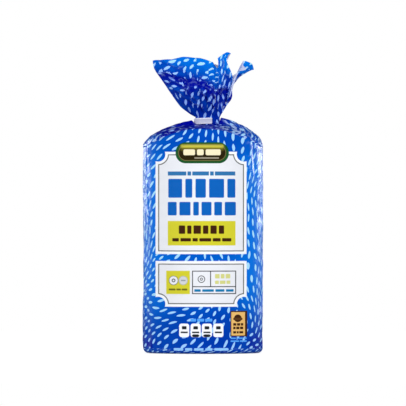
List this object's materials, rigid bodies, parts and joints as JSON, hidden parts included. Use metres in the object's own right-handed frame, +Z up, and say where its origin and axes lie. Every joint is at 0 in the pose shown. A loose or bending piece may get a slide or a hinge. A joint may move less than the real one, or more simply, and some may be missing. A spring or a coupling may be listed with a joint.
{
  "type": "bag of puffed rice cakes",
  "caption": "Tall round film bag of stacked puffed rice cakes, gathered by a flat clip under a ruffled crown, standing on its flat base.",
  "frame": {"origin": "on the resting face, at the axis of the round body", "axes": "+Z up along the stack of cakes, -Y towards the printed front, +X to the right as seen from the front"},
  "size_m": [0.098, 0.098, 0.2466],
  "materials": {
    "printed_film": "glossy blue film printed with pale grain shapes and plain label panels",
    "clip_white": "satin white strip"
  },
  "bodies": {
    "root": {"film_pack": "printed_film", "neck_clip": "clip_white"}
  },
  "joints": []
}
